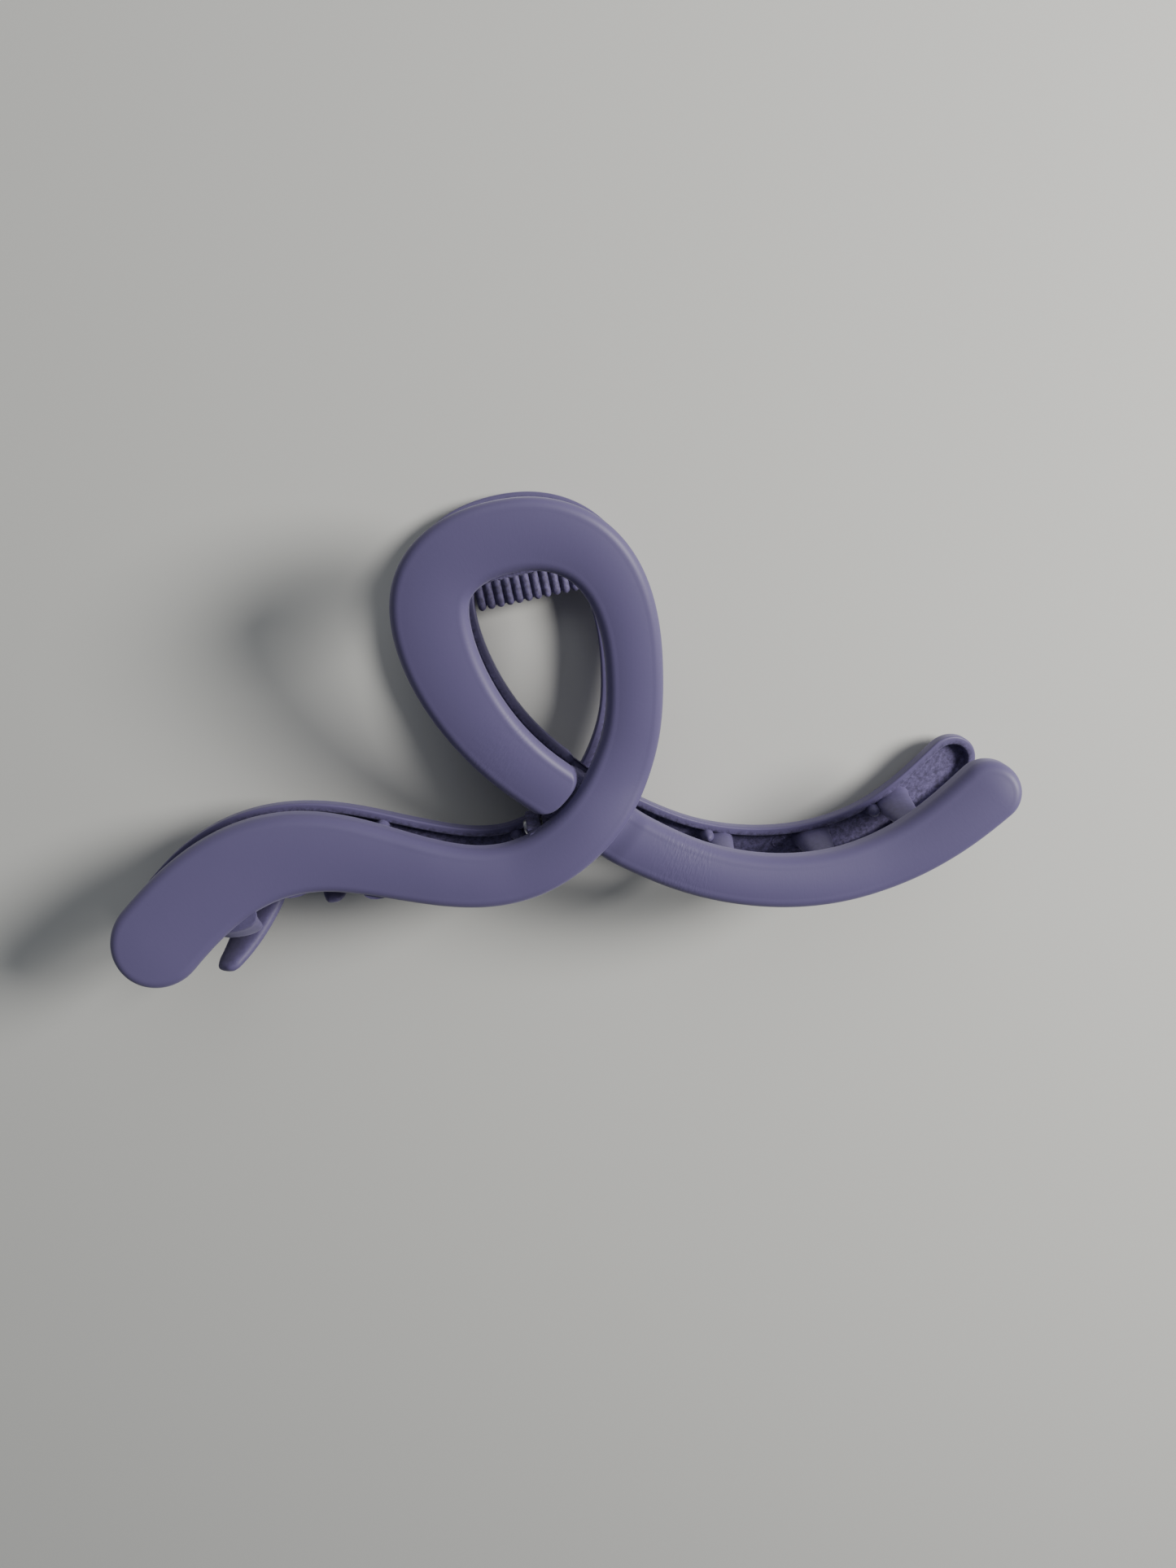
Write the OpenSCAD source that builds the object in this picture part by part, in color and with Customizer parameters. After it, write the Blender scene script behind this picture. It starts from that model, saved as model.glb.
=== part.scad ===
// Loop claw clip: two mirror-image moulded jaws on a steel pin, sprung shut by a torsion spring.
// The clip lies with its loops along +Y and its hinge along X. The upper jaw is the moving one.

/* [Overall] */
// Length from arm tip to arm tip
arm_span = 126; // [100:1:155]
// Height of the finger loop above the hinge line
loop_h = 46; // [36:1:58]
// Scale of the strand's width along its whole length
strand_k = 1; // [0.8:0.01:1.25]
// Half the clip's thickness at the hinge
waist_v = 6.2; // [5.6:0.1:8]
// Slope of each finger loop away from the middle plane
loop_slope = 0.17; // [0.1:0.01:0.25]
// Slope of the arms' faces away from the middle plane
arm_slope = 0.21; // [0.1:0.01:0.3]
// Outward curl of the arm tips
tip_curl = 0.0019; // [0:0.0002:0.005]
// Extra spread of the right arm's tip
right_rise = 1.3; // [0:0.1:2]

/* [Channel section] */
// Wall thickness of the moulding
wall = 1.3; // [1:0.1:2]
// Depth of the channel's rims
rim_d = 3.4; // [2.6:0.1:5]
// Rounding of the outer edges
edge_r = 1.5; // [0.6:0.1:2.2]
// Crown of the outer face
crown = 0.25; // [0:0.05:0.8]

/* [Teeth and grip] */
// Reach of a tooth, as a share of the way to the other jaw's rim
tooth_reach = 1; // [0.6:0.05:1]
// Gap left between a tooth's tip and the other jaw's rim
rim_gap = 0.5; // [0.3:0.1:1.5]
// Width of a tooth at its root
tooth_w = 4.2; // [3:0.1:5]
// Width of a tooth at its tip
tooth_tip_w = 2; // [1.2:0.1:3]
// Pitch of the grip ribs
rib_pitch = 1.36; // [1.1:0.02:2]
// Number of grip ribs
rib_n = 11; // [5:1:15]
// Radius of an inner peg
peg_r = 0.95; // [0.6:0.05:1.4]

/* [Hinge] */
// Diameter of the hinge pin
pin_d = 2.2; // [1.6:0.1:3]
// Radial clearance of the pin in the moving jaw
run_fit = 0.05; // [0.01:0.01:0.1]
// Width of one knuckle
knuckle_w = 2; // [1.5:0.1:2.6]
// Gap between neighbouring knuckles
knuckle_gap = 0.35; // [0.3:0.05:0.6]
// Diameter of the spring wire
wire_d = 0.9; // [0.6:0.05:1.2]
// Full turns of the spring
turns = 4; // [3:1:6]
// Radial clearance of the coil on the pin
coil_fit = 0.15; // [0.1:0.05:0.4]

/* [Hidden] */
$fn = 48;

// Placing of the clip on its rest plane
rest_tilt = 1.7;
place_x = 5.62;
place_y = -15.6;
place_z = 11.08;

// Hinge line, measured from the crossing of the strands
hinge_x = -3;
hinge_y = 1.5;
pin_r = pin_d / 2;
coil_r = pin_r + coil_fit + wire_d / 2;
coil_pitch = wire_d * 1.06;
coil_len = coil_pitch * turns + wire_d;
knuckle_r = pin_r + 1.15;
boss_v = knuckle_r + 1.05;
lug_in = coil_len / 2 + knuckle_gap;
lug_out = lug_in + knuckle_w + knuckle_gap;
pin_len = 2 * (lug_out + knuckle_w) + 1.2;

// Centreline control points of the strand: x, y and width, before scaling
arm_k = arm_span / 126;
loop_k = loop_h / 46;
left_arm = [
    [-78, -13.8, 12.6], [-71.8, -7.9, 12.6], [-64.8, -2.2, 12.7], [-58, 2.8, 12.6], [-51, 5.9, 12.2],
    [-43.8, 6.7, 11.3], [-36.8, 5.2, 10.2], [-29.8, 2, 9.2], [-23, -1.1, 8.4], [-16.5, -3, 8]
];
crossing = [[-10, -2.8, 8], [-3.6, 0, 8], [1.6, 4, 8.2], [5, 8.6, 8.2]];
loop = [
    [7.6, 14, 7.7], [9, 20.5, 7.6], [9.8, 27.5, 7.8], [9, 34.3, 8.2], [6, 39.5, 8.8], [1.2, 42.3, 9.2],
    [-4, 43, 9.3], [-10, 42.3, 9.6], [-15, 38.8, 10.1], [-16.2, 32.3, 10.2], [-15.2, 24.8, 9.8],
    [-12.2, 16.8, 9], [-7.8, 10, 8.5], [-3, 5.2, 8.1], [0.8, 0.8, 7.9]
];
under_end = [[5.8, -3.4, 7.6], [11.8, -7.6, 7.2]];
right_arm = [
    [18.6, -10.6, 7], [25.6, -12.4, 7], [32.8, -12.9, 7.1], [39.9, -11.8, 7.4], [45.6, -9.6, 7.8],
    [50.2, -7.1, 8.2], [55.2, -3.9, 8.5], [61, -0.1, 8.6], [66.8, 4, 8.6]
];
function arm_pt(p) = [p[0] * arm_k, p[1], p[2] * strand_k];
function core_pt(p) = [p[0], p[1], p[2] * strand_k];
function loop_pt(p) = [p[0] * loop_k, p[1] * loop_k, p[2] * strand_k];
strand_path = concat(
    [for (p = left_arm) arm_pt(p)], [for (p = crossing) core_pt(p)], [for (p = loop) loop_pt(p)],
    [for (p = under_end) core_pt(p)], [for (p = right_arm) arm_pt(p)]
);

// Uniform cubic B-spline and its direction
function bs(l, t) =
    let (i = max(0, min(floor(t), len(l) - 4)), f = t - i)
    (l[i] * pow(1 - f, 3) + l[i + 1] * (3 * f * f * f - 6 * f * f + 4)
        + l[i + 2] * (3 * f * f - 3 * f * f * f + 3 * f + 1) + l[i + 3] * f * f * f) / 6;
function bs_speed(l, t) =
    let (a = bs(l, t + 0.01), b = bs(l, t - 0.01)) norm([a[0] - b[0], a[1] - b[1]]) / 0.02;
function bs_dir(l, t) =
    let (a = bs(l, t + 0.01), b = bs(l, t - 0.01), n = norm([a[0] - b[0], a[1] - b[1]]))
    [a[0] - b[0], a[1] - b[1]] / n;
function ease(a) = let (c = max(0, min(1, a))) c * c * (3 - 2 * c);

// Height of the outer face over the middle plane
bend_y = 6;
function soft(a) = (a + sqrt(a * a + 4)) / 2;
function face_v(x, y) =
    waist_v - 0.3 + loop_slope * soft(y - bend_y) * ease((29 - abs(x)) / 6)
    + arm_slope * soft(bend_y - y) - arm_slope * soft(y - bend_y) * ease((abs(x) - 23) / 6)
    + tip_curl * pow(max(abs(x) - 30, 0), 2) + right_rise * ease((x - 36) / 22);

// The strand is swept in two lengths: left arm, over the crossing and up the loop, then down the
// loop, under the crossing and out along the right arm
cross_t = 10.55;
join_t = 19;
dense_a = 24.6;
dense_b = 28.8;
over_lift = 0.8;
under_t0 = 26.6;
groove_d = 1.3;
over_h = 4 * strand_k;
tip_l = 6.25 * strand_k;
tip_r = 4.35 * strand_k;
tip_lt = 1.26;
tip_rt = len(strand_path) - 4.3;
tip_n = 7;

function tip_round(d, r) = sqrt(max(1 - d * d / (r * r), 0.006));
function over_rise(t) = over_lift * (1 - ease(abs(t - cross_t) / 2.2));
over_line = [for (i = [0 : 30]) let (p = bs(strand_path, 8.2 + i * 0.17)) [p[0], p[1]]];
function off_over(x, y) = min([for (p = over_line) norm([x - p[0], y - p[1]])]);
// The under strand drops beside the over strand's edge and comes back up to meet its underside
function under_drop(x, y, t) =
    let (d = off_over(x, y))
    t < under_t0
        ? -groove_d * ease((over_h + 1.1 - d) / 1) + (groove_d - 0.4) * ease((over_h - 0.8 - d) / 1.1)
        : -0.4 * ease((over_h + 2.6 - d) / 2.6);
function lift_at(x, y, t) =
    t < join_t ? over_rise(t) : t < dense_a || t > dense_b ? 0 : under_drop(x, y, t);
over_n = 56;
under_n = [16, 38, 24];
function steps(a, b, n) = [for (i = [0 : n - 1]) a + (b - a) * i / n];
tip_ls = bs_speed(strand_path, tip_lt);
tip_rs = bs_speed(strand_path, tip_rt);
over_t = concat(
    [for (i = [0 : tip_n - 1]) tip_lt - 0.998 * tip_l * cos(90 * i / tip_n) / tip_ls],
    steps(tip_lt, join_t, over_n), [join_t]
);
under_t = concat(
    steps(join_t, dense_a, under_n[0]), steps(dense_a, dense_b, under_n[1]),
    steps(dense_b, tip_rt, under_n[2]),
    [for (i = [tip_n : -1 : 0]) tip_rt + 0.998 * tip_r * cos(90 * i / tip_n) / tip_rs]
);
function tip_at(t) =
    t < tip_lt ? [tip_round((tip_lt - t) * tip_ls, tip_l), (tip_lt - t) * tip_ls, tip_l]
    : t > tip_rt ? [tip_round((t - tip_rt) * tip_rs, tip_r), (t - tip_rt) * tip_rs, tip_r] : [1, 0, 9];

// One closed section: across and depth, from rim to rim over the face and back inside the channel
function section(h, k, closed) =
    let (
        r = min(edge_r, 0.45 * h), d = rim_d, hi = closed ? 0.04 : max(h - wall, 0.05),
        roof = closed ? d - 0.02 : wall + crown
    ) [
        [-h, -d], [-h, -r - crown * 0.8], [-h + 0.3 * r, -0.36 * r - crown], [-h + r, -crown],
        [-0.4 * h, -crown * 0.3], [0, 0], [0.4 * h, -crown * 0.3],
        [h - r, -crown], [h - 0.3 * r, -0.36 * r - crown], [h, -r - crown * 0.8], [h, -d],
        [hi, -d], [hi, -roof - 0.3], [hi * 0.8, -roof], [-hi * 0.8, -roof], [-hi, -roof - 0.3], [-hi, -d]
    ];
sec_n = 17;
function ring(t, trim) =
    let (
        tip = tip_at(t), p = bs(strand_path, t), q = bs_dir(strand_path, t), h = p[2] / 2 * tip[0] - trim,
        s = section(h, tip[0], tip[1] > tip[2] - wall)
    ) [for (c = s)
        let (
            x = p[0] - c[0] * q[1], y = p[1] + c[0] * q[0], lift = lift_at(x, y, t),
            v = c[1] <= -rim_d ? max(lift, -0.4) : lift
        ) [x, y, face_v(x, y) + v + c[1] - trim]];

module swept(rings) {
    n = len(rings);
    m = sec_n;
    pts = [for (r = rings) for (p = r) p];
    sides = [for (i = [0 : n - 2]) for (j = [0 : m - 1]) for (k = [0, 1])
        let (a = i * m + j, b = i * m + (j + 1) % m, c = a + m, d = b + m)
        k == 0 ? [a, b, c] : [b, d, c]];
    // The end caps are cut into quads so that each one stays flat
    caps = [for (e = [0, (n - 1) * m]) for (f = cap_faces())
        e == 0 ? [for (i = [len(f) - 1 : -1 : 0]) f[i]] : [for (i = f) i + e]];
    polyhedron(points = pts, faces = concat(sides, caps), convexity = 12);
}
function cap_faces() = [
    [0, 1, 16], [1, 15, 16], [1, 2, 15], [2, 14, 15], [2, 3, 14], [3, 4, 14], [4, 5, 14], [5, 13, 14],
    [5, 6, 13], [6, 7, 13], [7, 8, 13], [8, 12, 13], [8, 9, 12], [9, 10, 12], [10, 11, 12]
];

// Plate under the crossing that carries the knuckles
web_t = waist_v - boss_v - 0.65;
module crossing_web() {
    translate([-0.6, 2.4, boss_v])
        rotate([0, 0, -49])
            translate([-7.5, -3.1, 0])
                cube([15, 6.2, web_t]);
    translate([hinge_x - lug_out - knuckle_w, -2.5, boss_v - 0.05])
        cube([2 * (lug_out + knuckle_w), 4.9, web_t]);
}

module knuckle_pair(at, bore_r) {
    for (s = [-1, 1])
        translate([hinge_x + (s > 0 ? at : -at - knuckle_w), hinge_y, 0])
            difference() {
                union() {
                    rotate([0, 90, 0])
                        cylinder(r = knuckle_r, h = knuckle_w);
                    translate([0, -knuckle_r, 0])
                        cube([knuckle_w, 2 * knuckle_r - 1.3, boss_v + 0.8]);
                }
                translate([-1, 0, 0])
                    rotate([0, 90, 0])
                        cylinder(r = bore_r, h = knuckle_w + 2);
            }
}

// A tooth leaves the arm's outer-side rim, bows out and stops just short of the other jaw's rim.
// Each one is given as place along the strand, how far it bows out, its lean along the arm, its size,
// extra reach, and side: 1 at the outer-side rim, 0 in the middle of the channel
tooth_pts = 10;
function tooth_mid(f, bow, reach) = [-bow * f * (1.5 - 0.5 * f), -1.2 - reach * f];
function tooth_half(f, k) = (1.55 - 0.75 * f) * sqrt(k);
module tooth(spec) {
    t = spec[0];
    bow = spec[1];
    k = spec[3];
    p = bs(strand_path, t);
    q = bs_dir(strand_path, t);
    ex = p[0] + q[1] * (p[2] / 2 - 1.7) * spec[5];
    ey = p[1] - q[0] * (p[2] / 2 - 1.7) * spec[5];
    ev = face_v(ex, ey);
    reach = (2 * ev - rim_d - 1.9 - rim_gap) * tooth_reach + spec[4];
    w = tooth_w * k / 2;
    wt = tooth_tip_w * k / 2;
    end = tooth_mid(1, bow, reach);
    outline = concat(
        [for (i = [0 : tooth_pts])
            let (f = i / tooth_pts, m = tooth_mid(f, bow, reach)) [m[0] - tooth_half(f, k), m[1]]],
        [[end[0] - 0.3, end[1] - 0.7], [end[0] + 0.3, end[1] - 0.7]],
        [for (i = [tooth_pts : -1 : 0])
            let (f = i / tooth_pts, m = tooth_mid(f, bow, reach)) [m[0] + tooth_half(f, k), m[1]]]
    );
    translate([ex, ey, ev - 1.4])
        rotate([0, spec[2], 0])
            translate([0, 0, 1.4])
                intersection() {
                    rotate([90, 0, 90])
                        linear_extrude(height = tooth_w * k, center = true)
                            polygon(outline);
                    rotate([90, 0, 0])
                        linear_extrude(height = 30, center = true)
                            polygon([
                                [-w, 0], [-w, -4], [-wt, -reach - 0.9], [-wt / 2, -reach - 2.2],
                                [wt / 2, -reach - 2.2], [wt, -reach - 0.9], [w, -4], [w, 0]
                            ]);
                }
}

// A short round peg inside the channel, near the loop-side rim
peg_h = 3.2;
module peg(t) {
    p = bs(strand_path, t);
    q = bs_dir(strand_path, t);
    px = p[0] - q[1] * (p[2] / 2 - wall - peg_r * 0.6);
    py = p[1] + q[0] * (p[2] / 2 - wall - peg_r * 0.6);
    pv = face_v(px, py) - wall;
    translate([px, py, pv - peg_h])
        union() {
            cylinder(r = peg_r, h = peg_h + 0.1);
            sphere(r = peg_r);
        }
}

// Ribbed pad across the top of the finger loop, on the inner side
pad_t = 1.4;
pad_top = (waist_v - loop_slope * bend_y) * cos(atan(loop_slope)) - wall - 0.2;
module grip_pad(depth) {
    translate([-2.9 * loop_k, 0, 0])
        rotate([atan(loop_slope), 0, 0])
            translate([0, 43.4 * loop_k - depth, pad_top - pad_t])
                union() {
                    translate([-rib_pitch * rib_n / 2, 0, 0])
                        cube([rib_pitch * rib_n, depth, pad_t]);
                    for (i = [0 : rib_n - 1])
                        translate([rib_pitch * (i - (rib_n - 1) / 2), 0, 0])
                            rotate([-90, 0, 0])
                                cylinder(r = rib_pitch * 0.42, h = depth);
                }
}

// The first length ends in a ring trimmed by a hair, so that it ends inside the second one
module jaw_body() {
    swept(concat([for (t = over_t) ring(t, 0)], [ring(join_t + 0.2, 0.06)]));
    swept(concat([ring(join_t + 0.1, 0)], [for (t = under_t) if (t > join_t + 0.15) ring(t, 0)]));
    crossing_web();
}

module at_rest() {
    translate([place_x, place_y, place_z])
        rotate([rest_tilt, 0, 0])
            children();
}

// Teeth: place, bow, lean in degrees, size, extra reach and side. Pegs: place
front_teeth = [
    [2.5, 4, 0, 1.45, -6.4, 1], [4.1, 2, 0, 1, 0, 1], [5.9, 1.2, 0, 1, 0, 1], [29.2, 1, 0, 1, 0, 0.7],
    [30.85, 1, 0, 1, 0, 0.7], [32.8, 1.2, 0, 1, 0, 0.7], [34.8, 1.2, 0, 1, 0, 0.7]
];
back_teeth = [
    [3.08, 9.8, 36, 2.05, 3, 1], [4.85, 4.4, 6, 1.35, -1, 1], [6.7, 1.6, 0, 1, 0, 1],
    [29.7, 0.4, 0, 1.1, 0, -0.45], [31.8, 0.4, 0, 1.25, 0, -0.45], [33.85, 0.4, 0, 1.25, 0, -0.45]
];
pegs = [5.7, 8.7, 29.45, 33.3];

module front_jaw() {
    color([0.36, 0.35, 0.53])
        at_rest()
            union() {
                jaw_body();
                knuckle_pair(lug_out, pin_r + run_fit);
                grip_pad(5);
                for (t = front_teeth)
                    tooth(t);
            }
}

module back_jaw() {
    color([0.33, 0.32, 0.5])
        at_rest()
            mirror([0, 0, 1])
                union() {
                    jaw_body();
                    knuckle_pair(lug_in, pin_r);
                    grip_pad(10.4);
                    for (t = back_teeth)
                        tooth(t);
                    for (t = pegs)
                        peg(t);
                }
}

// The pin has a domed head at each end
module hinge_pin() {
    color([0.7, 0.7, 0.72])
        at_rest()
            translate([hinge_x, hinge_y, 0])
                rotate([0, 90, 0])
                    rotate_extrude()
                        polygon([
                            [0, -pin_len / 2], [pin_r * 0.7, -pin_len / 2], [pin_r, -pin_len / 2 + 0.35],
                            [pin_r, pin_len / 2 - 0.35], [pin_r * 0.7, pin_len / 2], [0, pin_len / 2]
                        ]);
}

// Spring path: a leg on the upper jaw, the coil, and a leg on the lower jaw
wire_n = 8;
coil_n = 20;
rise_a = 15;
// Each leg ends where it touches the plate under the crossing
leg = (boss_v - 0.05 - wire_d / 2 - coil_r * cos(rise_a)) / sin(rise_a);
function coil_at(a) = [
    hinge_x - coil_pitch * turns / 2 + coil_pitch * a / 360,
    hinge_y - coil_r * sin(a), coil_r * cos(a)
];
turn_a = -rise_a;
turn_b = 360 * (turns - 0.5) + rise_a;
coil_steps = coil_n * (turns - 0.5);
coil_path = [for (i = [0 : coil_steps]) coil_at(turn_a + (turn_b - turn_a) * i / coil_steps)];
leg_a = coil_path[0] + leg * [0, cos(rise_a), sin(rise_a)];
leg_b = coil_path[len(coil_path) - 1] + leg * [0, cos(rise_a), -sin(rise_a)];
wire_path = concat([leg_a], coil_path, [leg_b]);
module torsion_spring() {
    n = len(wire_path);
    rings = [for (i = [0 : n - 1])
        let (
            a = wire_path[max(i - 1, 0)], b = wire_path[min(i + 1, n - 1)],
            d = (b - a) / norm(b - a), c = cross(d, [1, 0, 0]), s = c / norm(c), w = cross(d, s)
        ) [for (j = [0 : wire_n - 1])
            let (g = 360 * j / wire_n) wire_path[i] + wire_d / 2 * (s * cos(g) + w * sin(g))]];
    pts = [for (r = rings) for (p = r) p];
    sides = [for (i = [0 : n - 2]) for (j = [0 : wire_n - 1]) for (k = [0, 1])
        let (a = i * wire_n + j, b = i * wire_n + (j + 1) % wire_n, c = a + wire_n, d = b + wire_n)
        k == 0 ? [a, c, b] : [b, c, d]];
    caps = [[for (j = [0 : wire_n - 1]) j], [for (j = [wire_n - 1 : -1 : 0]) (n - 1) * wire_n + j]];
    color([0.72, 0.72, 0.74])
        at_rest()
            polyhedron(points = pts, faces = concat(sides, caps), convexity = 8);
}

front_jaw();
back_jaw();
hinge_pin();
torsion_spring();
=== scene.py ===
"""Loop claw clip: two moulded soft-touch jaws on a steel pin, sprung shut by a torsion spring.

Metres, in the CAD frame: +X along the hinge, +Y towards the finger loops, +Z up. Shapes are worked
out in millimetres in the clip's own frame (hinge side at the origin, middle plane at height 0), then
placed on the rest plane the way the CAD does it.
"""

import math

import bmesh
import bpy
from mathutils import Matrix, Vector


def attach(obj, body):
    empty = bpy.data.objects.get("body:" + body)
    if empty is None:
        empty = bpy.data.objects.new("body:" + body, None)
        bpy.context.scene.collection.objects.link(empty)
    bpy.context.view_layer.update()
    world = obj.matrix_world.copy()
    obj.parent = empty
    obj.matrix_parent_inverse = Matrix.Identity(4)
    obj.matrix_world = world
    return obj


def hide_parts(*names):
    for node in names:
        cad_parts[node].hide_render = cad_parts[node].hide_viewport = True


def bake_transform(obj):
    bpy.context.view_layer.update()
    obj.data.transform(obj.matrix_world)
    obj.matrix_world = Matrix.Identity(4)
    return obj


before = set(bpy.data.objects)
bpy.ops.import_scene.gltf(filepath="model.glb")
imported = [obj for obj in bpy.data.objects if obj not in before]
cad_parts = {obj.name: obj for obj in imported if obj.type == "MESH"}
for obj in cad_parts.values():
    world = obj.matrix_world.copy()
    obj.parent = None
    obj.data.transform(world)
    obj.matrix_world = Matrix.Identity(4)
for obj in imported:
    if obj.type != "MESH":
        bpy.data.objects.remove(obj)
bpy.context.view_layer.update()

# ---------------------------------------------------------------- clip sizes, in millimetres
WAIST = 6.2          # half thickness at the hinge
LOOP_SLOPE = 0.17    # how the finger loops lean apart
ARM_SLOPE = 0.21     # how the arms lean out below the hinge
TIP_CURL = 0.0019
RIGHT_RISE = 1.3     # extra spread of the right arm's tip
WALL = 1.3
RIM = 3.4
EDGE_R = 1.5
CROWN = 0.25
BEND_Y = 6.0
HINGE = (-3.0, 1.5)
PIN_R = 1.1
WIRE = 0.9
TURNS = 4
RUN_FIT = 0.05       # radial clearance of the front jaw's knuckles on the pin
COIL_FIT = 0.15      # radial clearance of the spring's coil on the pin
REST_TILT = 1.7      # degrees about X, from the clip's middle plane to the rest plane

# Control points of the strand, from the left arm's tip over the crossing, round the finger loop, under
# the crossing and out to the right arm's tip: x, y and width
PATH = [(-78, -13.8, 12.6), (-71.8, -7.9, 12.6), (-64.8, -2.2, 12.7), (-58, 2.8, 12.6), (-51, 5.9, 12.2),
        (-43.8, 6.7, 11.3), (-36.8, 5.2, 10.2), (-29.8, 2, 9.2), (-23, -1.1, 8.4), (-16.5, -3, 8),
        (-10, -2.8, 8), (-3.6, 0, 8), (1.6, 4, 8.2), (5, 8.6, 8.2),
        (7.6, 14, 7.7), (9, 20.5, 7.6), (9.8, 27.5, 7.8), (9, 34.3, 8.2), (6, 39.5, 8.8), (1.2, 42.3, 9.2),
        (-4, 43, 9.3), (-10, 42.3, 9.6), (-15, 38.8, 10.1), (-16.2, 32.3, 10.2), (-15.2, 24.8, 9.8),
        (-12.2, 16.8, 9), (-7.8, 10, 8.5), (-3, 5.2, 8.1), (0.8, 0.8, 7.9),
        (5.8, -3.4, 7.6), (11.8, -7.6, 7.2), (18.6, -10.6, 7), (25.6, -12.4, 7), (32.8, -12.9, 7.1),
        (39.9, -11.8, 7.4), (45.6, -9.6, 7.8), (50.2, -7.1, 8.2), (55.2, -3.9, 8.5), (61, -0.1, 8.6),
        (66.8, 4, 8.6)]
TIP_LEFT, TIP_RIGHT = 1.26, len(PATH) - 4.3
CROSS_T, JOIN_T = 10.55, 19.0
UNDER = (24.6, 28.8)     # where the strand passes under the crossing
UNDER_MID = 26.6         # loop's side of the over strand before it, arm's side after it
# How far the over strand rises there, and how far the under strand's face, roof and rim drop
OVER_LIFT = 0.8
GROOVE_DROP, ROOF_DROP, SEAT_DROP = 1.95, 1.2, 0.4

place = (Matrix.Translation((0.00562, -0.0156, 0.01108)) @ Matrix.Rotation(math.radians(REST_TILT), 4, "X")
         @ Matrix.Scale(0.001, 4))


# ---------------------------------------------------------------- the strand's curve and heights
def spline(ctrl, t):
    i = max(0, min(math.floor(t), len(ctrl) - 4))
    f = t - i
    w = ((1 - f) ** 3, 3 * f ** 3 - 6 * f * f + 4, 3 * f * f - 3 * f ** 3 + 3 * f + 1, f ** 3)
    return [sum(w[k] * ctrl[i + k][c] for k in range(4)) / 6 for c in range(3)]


def heading(ctrl, t):
    a, b = spline(ctrl, t - 0.01), spline(ctrl, t + 0.01)
    d = Vector((b[0] - a[0], b[1] - a[1]))
    return d.normalized()


def soft(a):
    return (a + math.sqrt(a * a + 4)) / 2


def ease(a):
    a = max(0.0, min(1.0, a))
    return a * a * (3 - 2 * a)


def face_height(x, y):
    return (WAIST - 0.3 + LOOP_SLOPE * soft(y - BEND_Y) * ease((29 - abs(x)) / 6)
            + ARM_SLOPE * soft(BEND_Y - y) - ARM_SLOPE * soft(y - BEND_Y) * ease((abs(x) - 23) / 6)
            + TIP_CURL * max(abs(x) - 30, 0) ** 2 + RIGHT_RISE * ease((x - 36) / 22))


OVER_LINE = [spline(PATH, 8.2 + i * 0.085)[:2] for i in range(61)]


def lift_at(x, y, t, rim=False, corner=0.0):
    """The over strand rises at the crossing. The under strand drops beside it, then meets its underside."""
    if t < JOIN_T:
        return OVER_LIFT * (1 - ease(abs(t - CROSS_T) / 2.2))
    if not UNDER[0] < t < UNDER[1]:
        return 0.0
    d = min(math.hypot(x - a, y - b) for a, b in OVER_LINE)
    if t < UNDER_MID:
        drop = -GROOVE_DROP * ease((4.95 + 1.5 * corner ** 4 - d) / 0.85)
    else:
        drop = -SEAT_DROP * ease((6.6 - d) / 2.6)
    return max(drop, -SEAT_DROP) if rim else drop


# ---------------------------------------------------------------- mesh helpers
class Shape:
    """Collects vertices and faces in clip millimetres, with the values that the finish reads."""

    def __init__(self):
        self.co, self.faces, self.inner, self.along, self.across, self.creased = [], [], [], [], [], []

    def point(self, x, y, z, inner=0.0, along=0.0, across=0.0, creased=0.0):
        self.co.append((x, y, z))
        self.inner.append(inner)
        self.along.append(along)
        self.across.append(across)
        self.creased.append(creased)
        return len(self.co) - 1

    def rows(self, rows, closed=True):
        """Quads between neighbouring rows of vertex indices."""
        for a, b in zip(rows, rows[1:]):
            n = len(a)
            for j in range(n if closed else n - 1):
                k = (j + 1) % n
                self.faces.append((a[j], a[k], b[k], b[j]))

    def cap(self, row, flip=False):
        self.faces.append(tuple(reversed(row)) if flip else tuple(row))

    def build(self, name, mirror=False, merge=0.002):
        mesh = bpy.data.meshes.new(name)
        flip = -1 if mirror else 1
        mesh.from_pydata([(x, y, z * flip) for x, y, z in self.co], [], self.faces)
        for key, values in (("inner", self.inner), ("along", self.along), ("across", self.across),
                            ("creased", self.creased)):
            mesh.attributes.new(key, "FLOAT", "POINT").data.foreach_set("value", values)
        bm = bmesh.new()
        bm.from_mesh(mesh)
        bmesh.ops.remove_doubles(bm, verts=bm.verts, dist=merge)
        bmesh.ops.recalc_face_normals(bm, faces=bm.faces)
        bm.to_mesh(mesh)
        bm.free()
        mesh.transform(place)
        mesh.polygons.foreach_set("use_smooth", [True] * len(mesh.polygons))
        mesh.set_sharp_from_angle(angle=math.radians(42))
        obj = bpy.data.objects.new(name, mesh)
        bpy.context.scene.collection.objects.link(obj)
        return obj


def arc(cx, cy, r, a0, a1, n):
    out = []
    for i in range(n + 1):
        a = math.radians(a0 + (a1 - a0) * i / n)
        out.append((cx + r * math.cos(a), cy + r * math.sin(a)))
    return out


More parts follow.
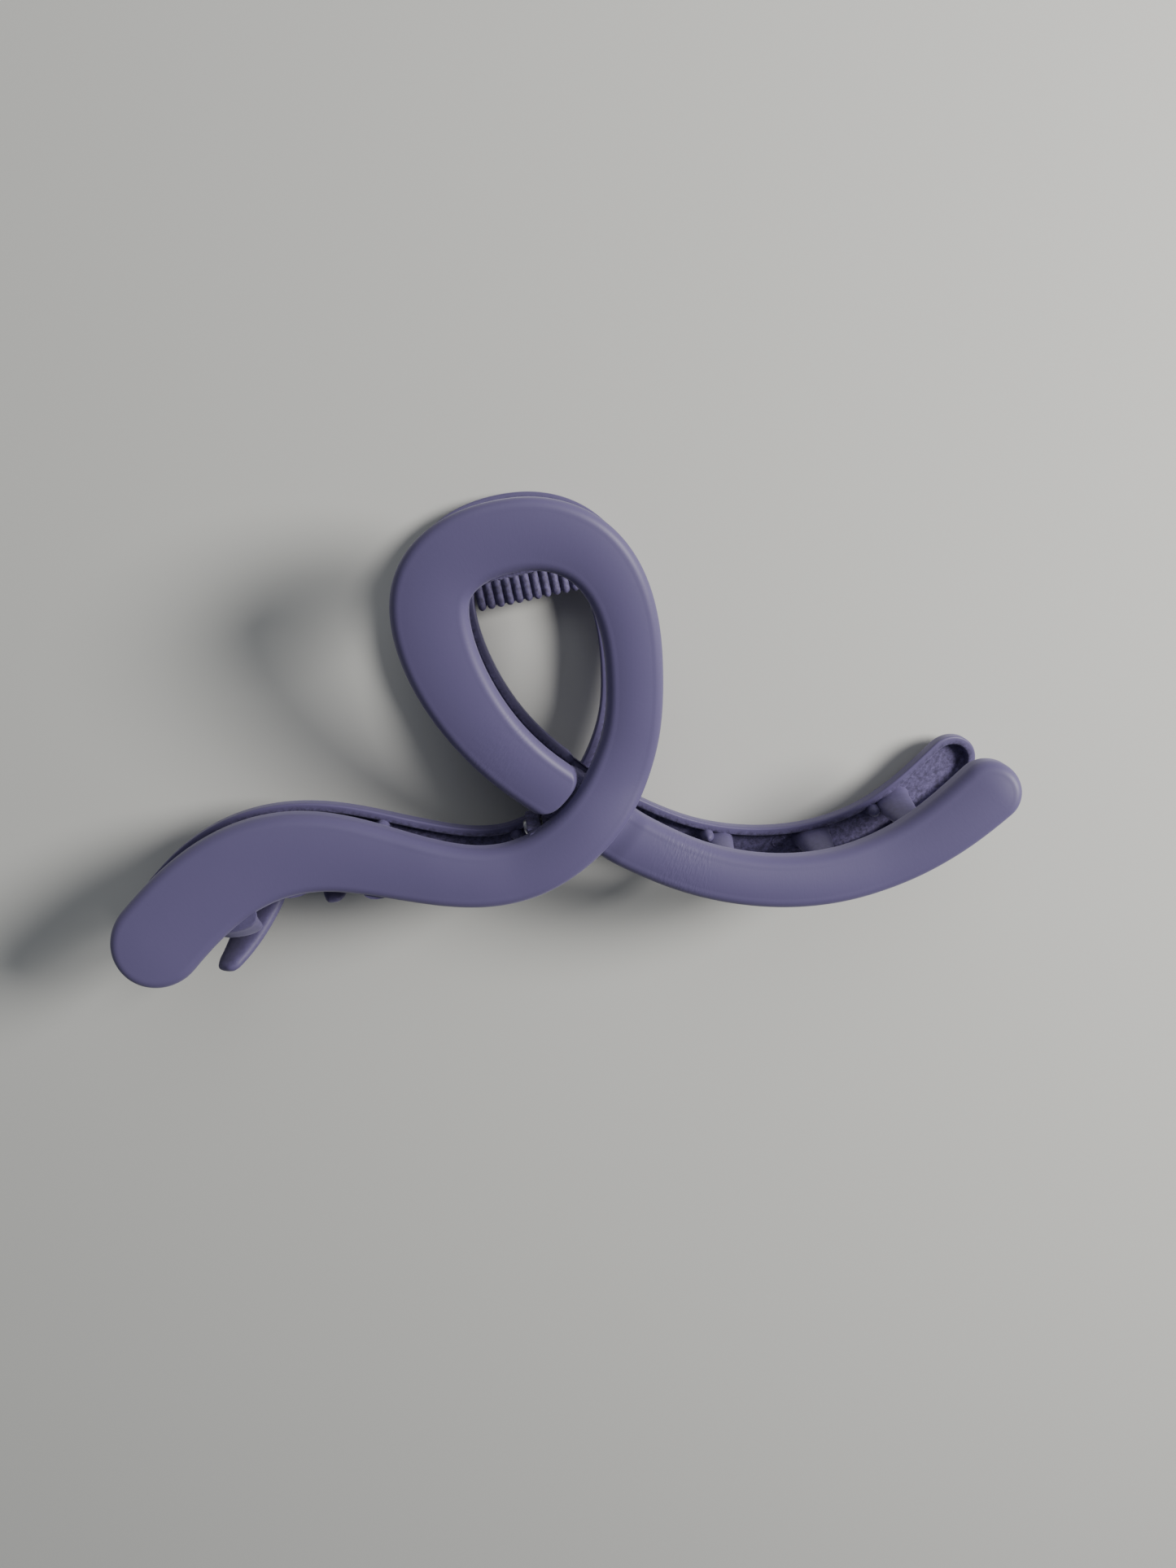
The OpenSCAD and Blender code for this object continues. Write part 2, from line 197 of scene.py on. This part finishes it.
def half_profile(h):
    """From the middle of the outer face, over the rounded edge and the rim, to the middle of the roof."""
    r, rim, fil = min(EDGE_R, 0.45 * h), 0.32, 0.55
    roof = -WALL - CROWN
    pts = [(i / 12 * (h - r), -CROWN * (i / 12) ** 2, 0.0) for i in range(12)]
    pts += [(a, n, 0.0) for a, n in arc(h - r, -CROWN - r, r, 90, 0, 9)]
    pts += [(h, -RIM + rim + 0.5, 0.0)]
    pts += [(a, n, 0.0) for a, n in arc(h - rim, -RIM + rim, rim, 0, -90, 3)]
    pts += [(a, n, 1.0) for a, n in arc(h - WALL + rim, -RIM + rim, rim, -90, -180, 3)]
    pts += [(h - WALL, roof - fil - 0.1, 1.0)]
    pts += [(a, n, 1.0) for a, n in arc(h - WALL - fil, roof - fil, fil, 0, 90, 4)]
    pts += [((h - WALL - fil) * f, roof, 1.0) for f in (0.6, 0.25, 0)]
    return pts


def crease(t):
    """Where the coating is finely wrinkled: beside the crossing and halfway down the loop's left side."""
    return max(math.exp(-((t - 28.7) / 0.6) ** 2), 0.8 * math.exp(-((t - 24.3) / 0.6) ** 2), 0.12)


def strand(s, stations):
    """Sweeps the channel along the stations and closes both ends with a round tip."""
    rows, length, last, sections = [], 0.0, None, []
    for t in stations:
        x, y, w = spline(PATH, t)
        if last is not None:
            length += math.hypot(x - last[0], y - last[1])
        last = (x, y)
        sections.append((t, x, y, w / 2, length))
    for t, x, y, h, length in sections:
        d = heading(PATH, t)
        half = half_profile(h)
        row = []
        for a, n, k in half + [(-a, n, k) for a, n, k in reversed(half)][1:-1]:
            px, py = x - a * d.y, y + a * d.x
            lift = lift_at(px, py, t, n < -RIM + 0.7, abs(a) / h)
            lift = max(lift, -ROOF_DROP) if k > 0 else lift
            row.append(s.point(px, py, face_height(px, py) + lift + n, k, length, a, crease(t)))
        rows.append(row)
    s.rows(rows)
    # Each round tip is the half profile turned about the strand's last centre
    for (t, x, y, h, length), out in ((sections[0], -1), (sections[-1], 1)):
        d = heading(PATH, t)
        turned = []
        for i in range(33):
            a = math.pi * i / 32
            ux = -d.y * math.cos(a) + out * d.x * math.sin(a)
            uy = d.x * math.cos(a) + out * d.y * math.sin(a)
            turned.append([s.point(x + r * ux, y + r * uy, face_height(x + r * ux, y + r * uy) + n, k,
                                   length + out * r * math.sin(a), r * math.cos(a))
                           for r, n, k in half_profile(h)])
        s.rows(turned, closed=False)


def blob(s, rings, inner=1.0):
    """A closed stack of rings: each ring is a list of (x, y, z)."""
    rows = [[s.point(*p, inner) for p in ring] for ring in rings]
    s.rows(rows)
    s.cap(rows[0], True)
    s.cap(rows[-1])


def squircle(cx, cy, z, rx, ry, power=2.6, n=20):
    out = []
    for i in range(n):
        a = 2 * math.pi * i / n
        c, q = math.cos(a), math.sin(a)
        k = (abs(c) ** power + abs(q) ** power) ** (-1 / power)
        out.append((cx + rx * k * c, cy + ry * k * q, z))
    return out


TOOTH_W, TOOTH_TIP_W, RIM_GAP = 4.2, 2.0, 0.5


def tooth(s, t, bow, lean, size, extra, side):
    """A blade from the channel's roof that bows out and ends in a thin chisel edge."""
    x, y, w = spline(PATH, t)
    d = heading(PATH, t)
    off = (w / 2 - 1.7) * side
    ex, ey = x + d.y * off, y - d.x * off
    ev = face_height(ex, ey)
    reach = 2 * ev - RIM - 1.9 - RIM_GAP + extra
    tilt = math.radians(lean)
    rings, count, end = [], 34, reach + 1.9
    for i in range(count + 1):
        depth = 1.2 + (end - 1.2) * (1 - (1 - i / count) ** 1.35)
        g = min((depth - 1.2) / reach, 1.0)
        my = -bow * g * (1.5 - 0.5 * g)
        taper = max(0.0, (depth - 4) / (reach - 3.1))
        hw = size * (TOOTH_W / 2 + (TOOTH_TIP_W - TOOTH_W) / 2 * min(taper, 1.1))
        ht = (1.5 - 0.85 * g) * math.sqrt(size)
        flare = 0.5 * math.exp(-max(depth - 1.5, 0) / 0.7)
        close = math.sqrt(max(1 - max(0.0, (depth - end + 1.5) / 1.5) ** 2, 0.02))
        ring = []
        for px, py, pz in squircle(0, my, -depth, (hw + flare) * (0.35 + 0.65 * close), (ht + flare) * close):
            pz += 1.4
            qx, qz = px * math.cos(tilt) + pz * math.sin(tilt), -px * math.sin(tilt) + pz * math.cos(tilt)
            ring.append((ex + qx, ey + py, ev - 1.4 + qz))
        rings.append(ring)
    blob(s, rings, 0.25)


def peg(s, t):
    x, y, w = spline(PATH, t)
    d = heading(PATH, t)
    off = w / 2 - WALL - 0.57
    px, py = x - d.y * off, y + d.x * off
    top = face_height(px, py) - WALL
    # The peg beside the crossing is shorter than the others
    reach = 0.72 if 8 < t < 9 else 1.0
    rings = []
    for z, r in ((0.15, 1.5), (-0.3, 1.32), (-0.7, 1.1), (-1.3, 0.98), (-2.6, 0.9), (-3.2, 0.8),
                 (-3.6, 0.62), (-3.9, 0.4), (-4.08, 0.18)):
        rings.append(squircle(px, py, top + z * reach, r, r, 2, 18))
    blob(s, rings, 0.4)


def box(s, low, high, turn=None, edge=0.25):
    """A block with rounded upright edges and softened ends."""
    cx, cy = (low[0] + high[0]) / 2, (low[1] + high[1]) / 2
    rx, ry = (high[0] - low[0]) / 2, (high[1] - low[1]) / 2
    rings = []
    for z, k in ((low[2], edge), (low[2] + edge * 0.3, edge * 0.3), (low[2] + edge, 0),
                 (high[2] - edge, 0), (high[2] - edge * 0.3, edge * 0.3), (high[2], edge)):
        ring = squircle(cx, cy, z, rx - k, ry - k, 9, 40)
        if turn:
            ring = [tuple(turn @ Vector(p)) for p in ring]
        rings.append(ring)
    blob(s, rings)


COIL_R = PIN_R + COIL_FIT + WIRE / 2
PITCH = WIRE * 1.06
COIL_LEN = PITCH * TURNS + WIRE
KNUCKLE_W, KNUCKLE_GAP = 2.0, 0.35
KNUCKLE_R = PIN_R + 1.15
BOSS = KNUCKLE_R + 1.05
LUG_IN = COIL_LEN / 2 + KNUCKLE_GAP
LUG_OUT = LUG_IN + KNUCKLE_W + KNUCKLE_GAP
PIN_LEN = 2 * (LUG_OUT + KNUCKLE_W) + 1.2


def knuckles(s, at, bore):
    """Two eyes on the hinge line, each with a neck up to the jaw."""
    n = 56
    for side in (-1, 1):
        x0 = HINGE[0] + (at if side > 0 else -at - KNUCKLE_W)
        rows = []
        e = 0.2
        for dx, k, inner in ((0, 0, 1), (0, e, 0), (e, 0, 0), (KNUCKLE_W - e, 0, 0), (KNUCKLE_W, e, 0),
                             (KNUCKLE_W, 0, 1), (0, 0, 1)):
            row = []
            for i in range(n):
                a = 2 * math.pi * i / n
                cy, cz = math.cos(a), math.sin(a)
                if inner:
                    r = bore
                else:
                    r = KNUCKLE_R
                    if cz > 1e-6:
                        neck = 0.95 / cy if cy > 1e-6 else KNUCKLE_R / max(-cy, 1e-6)
                        r = max(r, min((BOSS + 0.8) / cz, neck))
                    r -= k
                row.append(s.point(x0 + dx, HINGE[1] + r * cy, r * cz, 1.0))
            rows.append(row)
        s.rows(rows)


def grip_pad(s, depth):
    """Ribs along Y on a thin plate over the top of the finger loop."""
    lean = math.atan(LOOP_SLOPE)
    turn = Matrix.Rotation(lean, 4, "X")
    top = (WAIST - LOOP_SLOPE * BEND_Y) * math.cos(lean) - WALL - 0.2
    n, pitch, cx, far = 11, 1.36, -2.9, 43.4
    start = far - depth
    box(s, (cx - pitch * n / 2, start + 0.45, top - 1.4), (cx + pitch * n / 2, far, top), turn, 0.2)
    for i in range(n):
        x = cx + pitch * (i - (n - 1) / 2)
        r = pitch * 0.44
        rings = []
        for y, k in ((0.0, 0.12), (0.06, 0.45), (0.2, 0.75), (0.42, 0.95), (0.7, 1.0), (depth, 1.0)):
            ring = []
            for j in range(16):
                a = 2 * math.pi * j / 16
                dx, dz = r * k * math.cos(a), r * k * math.sin(a)
                ring.append(tuple(turn @ Vector((x + dx, start + y, top - 1.4 + dz))))
            rings.append(ring)
        blob(s, rings)


def ejector_mark(s, t, off, radius=1.0):
    """The low ring that a mould's ejector pin leaves on the channel's roof."""
    x, y, _ = spline(PATH, t)
    d = heading(PATH, t)
    cx, cy = x - d.y * off, y + d.x * off
    rows = []
    for i in range(30):
        a = 2 * math.pi * i / 30
        row = []
        for j in range(8):
            b = 2 * math.pi * j / 8
            r = radius + 0.14 * math.cos(b)
            px, py = cx + r * math.cos(a), cy + r * math.sin(a)
            row.append(s.point(px, py, face_height(px, py) - WALL - CROWN + 0.1 * math.sin(b), 1.0))
        rows.append(row)
    s.rows(rows + rows[:1])


# Teeth: place along the strand, bow, lean in degrees, size, extra reach and side
FRONT_TEETH = [(2.5, 4, 0, 1.45, -6.4, 1), (4.1, 2, 0, 1, 0, 1), (5.9, 1.2, 0, 1, 0, 1),
               (29.2, 1, 0, 1, 0, 0.7), (30.85, 1, 0, 1, 0, 0.7), (32.8, 1.2, 0, 1, 0, 0.7),
               (34.8, 1.2, 0, 1, 0, 0.7)]
BACK_TEETH = [(3.08, 9.8, 36, 2.05, 3, 1), (4.85, 4.4, 6, 1.35, -1, 1), (6.7, 1.6, 0, 1, 0, 1),
              (29.7, 0.4, 0, 1.1, 0, -0.45), (31.8, 0.4, 0, 1.25, 0, -0.45), (33.85, 0.4, 0, 1.25, 0, -0.45)]
PEGS = (5.7, 8.7, 29.45, 33.3)
EJECTOR_MARKS = ((34.1, 0.9), (31.1, 0.4), (3.3, 0.8), (9.0, 0.2))     # place and offset from the middle
FRONT_PAD, BACK_PAD = 5, 10.4                                          # depth of each grip pad


def jaw(name, upper):
    s = Shape()
    low, high = UNDER
    # Stations are closest together where the strand passes under the crossing
    stations = [TIP_LEFT + (low - TIP_LEFT) * i / 300 for i in range(300)]
    stations += [low + (high - low) * i / 190 for i in range(190)]
    stations += [high + (TIP_RIGHT - high) * i / 100 for i in range(101)]
    strand(s, stations)
    brace_t, web_t = 1.3, WAIST - BOSS - 0.65
    spin = Matrix.Translation((-0.6, 2.4, 0)) @ Matrix.Rotation(math.radians(-49), 4, "Z")
    box(s, (-7.5, -3.1, BOSS), (7.5, 3.1, BOSS + brace_t), spin)
    reach = LUG_OUT + KNUCKLE_W
    box(s, (HINGE[0] - reach, -2.5, BOSS - 0.05), (HINGE[0] + reach, 2.4, BOSS - 0.05 + web_t))
    knuckles(s, LUG_OUT if upper else LUG_IN, PIN_R + (RUN_FIT if upper else 0))
    grip_pad(s, FRONT_PAD if upper else BACK_PAD)
    for spec in FRONT_TEETH if upper else BACK_TEETH:
        tooth(s, *spec)
    for t in () if upper else PEGS:
        peg(s, t)
    for t, off in EJECTOR_MARKS:
        ejector_mark(s, t, off)
    return s.build(name, mirror=not upper)


def pin():
    s = Shape()
    half = PIN_LEN / 2
    rows = []
    profile = [(-half, 0.12), (-half, 0.5), (-half + 0.06, 0.78), (-half + 0.18, 0.97), (-half + 0.35, PIN_R)]
    profile += [(-x, r) for x, r in reversed(profile)]
    for x, r in profile:
        rows.append([s.point(HINGE[0] + x, HINGE[1] + r * math.cos(2 * math.pi * i / 40),
                             r * math.sin(2 * math.pi * i / 40)) for i in range(40)])
    s.rows(rows)
    s.cap(rows[0], True)
    s.cap(rows[-1])
    return s.build("pin_steel")


def spring():
    """Wire wound round the pin, with a leg against each jaw."""
    rise = math.radians(15)
    leg = (BOSS - 0.05 - WIRE / 2 - COIL_R * math.cos(rise)) / math.sin(rise)
    a0, a1 = -15.0, 360 * (TURNS - 0.5) + 15

    def coil(a):
        q = math.radians(a)
        return Vector((HINGE[0] - PITCH * TURNS / 2 + PITCH * a / 360, HINGE[1] - COIL_R * math.sin(q),
                       COIL_R * math.cos(q)))

    path = [coil(a0 + (a1 - a0) * i / 220) for i in range(221)]
    leg_a = [path[0] + k * leg / 8 * Vector((0, math.cos(rise), math.sin(rise))) for k in range(8, 0, -1)]
    leg_b = [path[-1] + k * leg / 8 * Vector((0, math.cos(rise), -math.sin(rise))) for k in range(1, 9)]
    path = leg_a + path + leg_b
    s = Shape()
    rows = []
    for i, p in enumerate(path):
        d = (path[min(i + 1, len(path) - 1)] - path[max(i - 1, 0)]).normalized()
        u = d.cross(Vector((1, 0, 0))).normalized()
        v = d.cross(u)
        r = WIRE / 2 * 0.99
        row = []
        for j in range(14):
            a = 2 * math.pi * j / 14
            row.append(s.point(*(p + r * (u * math.cos(a) + v * math.sin(a)))))
        rows.append(row)
    s.rows(rows)
    s.cap(rows[0], True)
    s.cap(rows[-1])
    return s.build("spring_wire")


# ---------------------------------------------------------------- finishes
def new_material(name):
    m = bpy.data.materials.new(name)
    m.use_nodes = True
    m.node_tree.nodes.clear()
    return m, m.node_tree.nodes, m.node_tree.links


def node(nodes, kind, **values):
    n = nodes.new(kind)
    for key, value in values.items():
        if key in n.inputs:
            n.inputs[key].default_value = value
        else:
            setattr(n, key, value)
    return n


def soft_touch(name, tone):
    """Matte rubbery coating with fine cross wrinkles; the channel's inside is rougher and speckled, and its
    colour is darkened overall as painted shade.
    """
    m, nodes, links = new_material(name)
    out = nodes.new("ShaderNodeOutputMaterial")
    bsdf = nodes.new("ShaderNodeBsdfPrincipled")
    bsdf.inputs["Specular IOR Level"].default_value = 0.42
    bsdf.inputs["Sheen Weight"].default_value = 0.18
    bsdf.inputs["Sheen Roughness"].default_value = 0.45
    bsdf.inputs["Sheen Tint"].default_value = (0.75, 0.72, 1.0, 1.0)
    coords = nodes.new("ShaderNodeTexCoord")
    along = node(nodes, "ShaderNodeAttribute", attribute_name="along")
    across = node(nodes, "ShaderNodeAttribute", attribute_name="across")
    inner = node(nodes, "ShaderNodeAttribute", attribute_name="inner")

    mottling = node(nodes, "ShaderNodeTexNoise", Scale=70.0, Detail=3.0, Roughness=0.6)
    links.new(coords.outputs["Object"], mottling.inputs["Vector"])
    speckle = node(nodes, "ShaderNodeTexNoise", Scale=1500.0, Detail=2.0, Roughness=0.7)
    links.new(coords.outputs["Object"], speckle.inputs["Vector"])

    tint = node(nodes, "ShaderNodeMix", data_type="RGBA")
    tint.inputs["A"].default_value = tone
    tint.inputs["B"].default_value = (tone[0] * 1.12, tone[1] * 1.1, tone[2] * 1.08, 1.0)
    links.new(mottling.outputs["Fac"], tint.inputs["Factor"])
    # Inside the channel the colour is scaled by speckle that averages below one: real speckle plus painted
    # shade in the channel's recesses
    speckle_and_painted_shade = node(nodes, "ShaderNodeMapRange")
    speckle_and_painted_shade.inputs["From Min"].default_value = 0.35
    speckle_and_painted_shade.inputs["From Max"].default_value = 0.75
    speckle_and_painted_shade.inputs["To Min"].default_value = 0.5
    speckle_and_painted_shade.inputs["To Max"].default_value = 1.3
    links.new(speckle.outputs["Fac"], speckle_and_painted_shade.inputs["Value"])
    inner_painted_shade = node(nodes, "ShaderNodeMix", data_type="FLOAT")
    inner_painted_shade.inputs["A"].default_value = 1.0
    links.new(inner.outputs["Fac"], inner_painted_shade.inputs["Factor"])
    links.new(speckle_and_painted_shade.outputs["Result"], inner_painted_shade.inputs["B"])
    colour_with_painted_shade = node(nodes, "ShaderNodeVectorMath", operation="SCALE")
    links.new(tint.outputs["Result"], colour_with_painted_shade.inputs[0])
    links.new(inner_painted_shade.outputs["Result"], colour_with_painted_shade.inputs["Scale"])
    links.new(colour_with_painted_shade.outputs["Vector"], bsdf.inputs["Base Color"])

    # Cross wrinkles: fine waves along the strand, stretched across it, fading in and out in patches
    strand_uv = nodes.new("ShaderNodeCombineXYZ")
    squeeze = node(nodes, "ShaderNodeMath", operation="MULTIPLY")
    squeeze.inputs[1].default_value = 0.3
    links.new(across.outputs["Fac"], squeeze.inputs[0])
    links.new(along.outputs["Fac"], strand_uv.inputs["X"])
    links.new(squeeze.outputs["Value"], strand_uv.inputs["Y"])
    wrinkle = node(nodes, "ShaderNodeTexNoise", Scale=3.2, Detail=2.5, Roughness=0.55)
    links.new(strand_uv.outputs["Vector"], wrinkle.inputs["Vector"])
    creased = node(nodes, "ShaderNodeAttribute", attribute_name="creased")
    wrinkled = node(nodes, "ShaderNodeMath", operation="MULTIPLY")
    links.new(wrinkle.outputs["Fac"], wrinkled.inputs[0])
    links.new(creased.outputs["Fac"], wrinkled.inputs[1])

    fold = node(nodes, "ShaderNodeBump", Strength=0.6, Distance=0.00012)
    links.new(wrinkled.outputs["Value"], fold.inputs["Height"])
    grain_depth = node(nodes, "ShaderNodeMath", operation="MULTIPLY_ADD")
    grain_depth.inputs[1].default_value = 0.55
    grain_depth.inputs[2].default_value = 0.08
    links.new(inner.outputs["Fac"], grain_depth.inputs[0])
    grain = node(nodes, "ShaderNodeBump", Distance=0.00008)
    links.new(grain_depth.outputs["Value"], grain.inputs["Strength"])
    links.new(speckle.outputs["Fac"], grain.inputs["Height"])
    links.new(fold.outputs["Normal"], grain.inputs["Normal"])
    links.new(grain.outputs["Normal"], bsdf.inputs["Normal"])
    rough = node(nodes, "ShaderNodeMath", operation="MULTIPLY_ADD")
    rough.inputs[1].default_value = 0.16
    rough.inputs[2].default_value = 0.5
    links.new(inner.outputs["Fac"], rough.inputs[0])
    links.new(rough.outputs["Value"], bsdf.inputs["Roughness"])
    links.new(bsdf.outputs["BSDF"], out.inputs["Surface"])
    return m


def steel(name):
    m, nodes, links = new_material(name)
    out = nodes.new("ShaderNodeOutputMaterial")
    bsdf = node(nodes, "ShaderNodeBsdfPrincipled", Metallic=1.0, Roughness=0.32)
    coords = nodes.new("ShaderNodeTexCoord")
    grain = node(nodes, "ShaderNodeTexNoise", Scale=900.0, Detail=2.0)
    links.new(coords.outputs["Object"], grain.inputs["Vector"])
    ramp = node(nodes, "ShaderNodeMapRange")
    ramp.inputs["To Min"].default_value = 0.24
    ramp.inputs["To Max"].default_value = 0.42
    links.new(grain.outputs["Fac"], ramp.inputs["Value"])
    links.new(ramp.outputs["Result"], bsdf.inputs["Roughness"])
    tone = node(nodes, "ShaderNodeMix", data_type="RGBA")
    tone.inputs["A"].default_value = (0.42, 0.42, 0.44, 1)
    tone.inputs["B"].default_value = (0.58, 0.58, 0.6, 1)
    links.new(grain.outputs["Fac"], tone.inputs["Factor"])
    links.new(tone.outputs["Result"], bsdf.inputs["Base Color"])
    links.new(bsdf.outputs["BSDF"], out.inputs["Surface"])
    return m


def floor_finish():
    m, nodes, links = new_material("floor_pale")
    out = nodes.new("ShaderNodeOutputMaterial")
    bsdf = node(nodes, "ShaderNodeBsdfPrincipled", Roughness=0.85)
    coords = nodes.new("ShaderNodeTexCoord")
    soft_noise = node(nodes, "ShaderNodeTexNoise", Scale=3.0, Detail=1.0)
    links.new(coords.outputs["Object"], soft_noise.inputs["Vector"])
    tone = node(nodes, "ShaderNodeMix", data_type="RGBA")
    tone.inputs["A"].default_value = (0.56, 0.56, 0.53, 1)
    tone.inputs["B"].default_value = (0.6, 0.6, 0.57, 1)
    links.new(soft_noise.outputs["Fac"], tone.inputs["Factor"])
    links.new(tone.outputs["Result"], bsdf.inputs["Base Color"])
    links.new(bsdf.outputs["BSDF"], out.inputs["Surface"])
    return m


coat = soft_touch("soft_touch_lavender", (0.1, 0.084, 0.182, 1.0))
metal = steel("drawn_steel")

# ---------------------------------------------------------------- pieces on the CAD frame
front = jaw("front_jaw_moulding", True)
back = jaw("back_jaw_moulding", False)
steel_pin = pin()
wire = spring()
for piece, body, cad in ((front, "upper", "front_jaw"), (back, "lower", "back_jaw"),
                         (steel_pin, "lower", "hinge_pin")):
    piece.data.materials.append(metal if piece is steel_pin else coat)
    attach(piece, body)
    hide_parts(cad)
wire.data.materials.append(metal)
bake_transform(wire)
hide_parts("torsion_spring")
for name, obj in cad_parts.items():
    obj.data.materials.clear()
    obj.data.materials.append(metal if name in ("hinge_pin", "torsion_spring") else coat)

# ---------------------------------------------------------------- floor, light and camera
floor_mesh = bpy.data.meshes.new("floor")
bm = bmesh.new()
bmesh.ops.create_grid(bm, x_segments=8, y_segments=8, size=1.2)
bm.to_mesh(floor_mesh)
bm.free()
floor = bpy.data.objects.new("floor", floor_mesh)
bpy.context.scene.collection.objects.link(floor)
floor.location = (0, 0, -0.0001)
floor_mesh.materials.append(floor_finish())


def lamp(name, at, size, watts, colour=(1, 1, 1)):
    data = bpy.data.lights.new(name, "AREA")
    data.shape = "DISK"
    data.size = size
    data.energy = watts
    data.color = colour
    obj = bpy.data.objects.new(name, data)
    bpy.context.scene.collection.objects.link(obj)
    obj.location = at
    obj.rotation_euler = (Vector((0, 0, 0.01)) - Vector(at)).to_track_quat("-Z", "Y").to_euler()


lamp("window", (0.41, 0.05, 0.3), 0.2, 3.8, (1.0, 0.98, 0.95))
lamp("fill", (0.1, 0.5, 0.6), 0.6, 1.05, (0.95, 0.97, 1.0))
world = bpy.data.worlds.new("studio")
world.use_nodes = True
world.node_tree.nodes["Background"].inputs["Color"].default_value = (0.82, 0.88, 1.0, 1)
world.node_tree.nodes["Background"].inputs["Strength"].default_value = 0.155
bpy.context.scene.world = world

# The camera is above the clip and a little towards the loops, and the clip lies turned in the picture
roll, pitch, yaw = math.radians(12.3), math.radians(16.0), math.radians(-0.4)
view = Matrix.Rotation(roll, 3, "Z") @ Matrix.Rotation(pitch, 3, "X") @ Matrix.Rotation(yaw, 3, "Y")
eye = place @ (view.transposed() @ Vector((-1.47, 5.46, 170.0)))
cam_data = bpy.data.cameras.new("camera")
cam_data.sensor_fit = "AUTO"
cam_data.sensor_width = 36.0
cam_data.lens = 27.03
cam_data.clip_start = 0.01
cam = bpy.data.objects.new("camera", cam_data)
bpy.context.scene.collection.objects.link(cam)
turn = Matrix.Rotation(math.radians(REST_TILT), 3, "X") @ view.transposed()
cam.matrix_world = Matrix.Translation(eye) @ turn.to_4x4()
bpy.context.scene.camera = cam
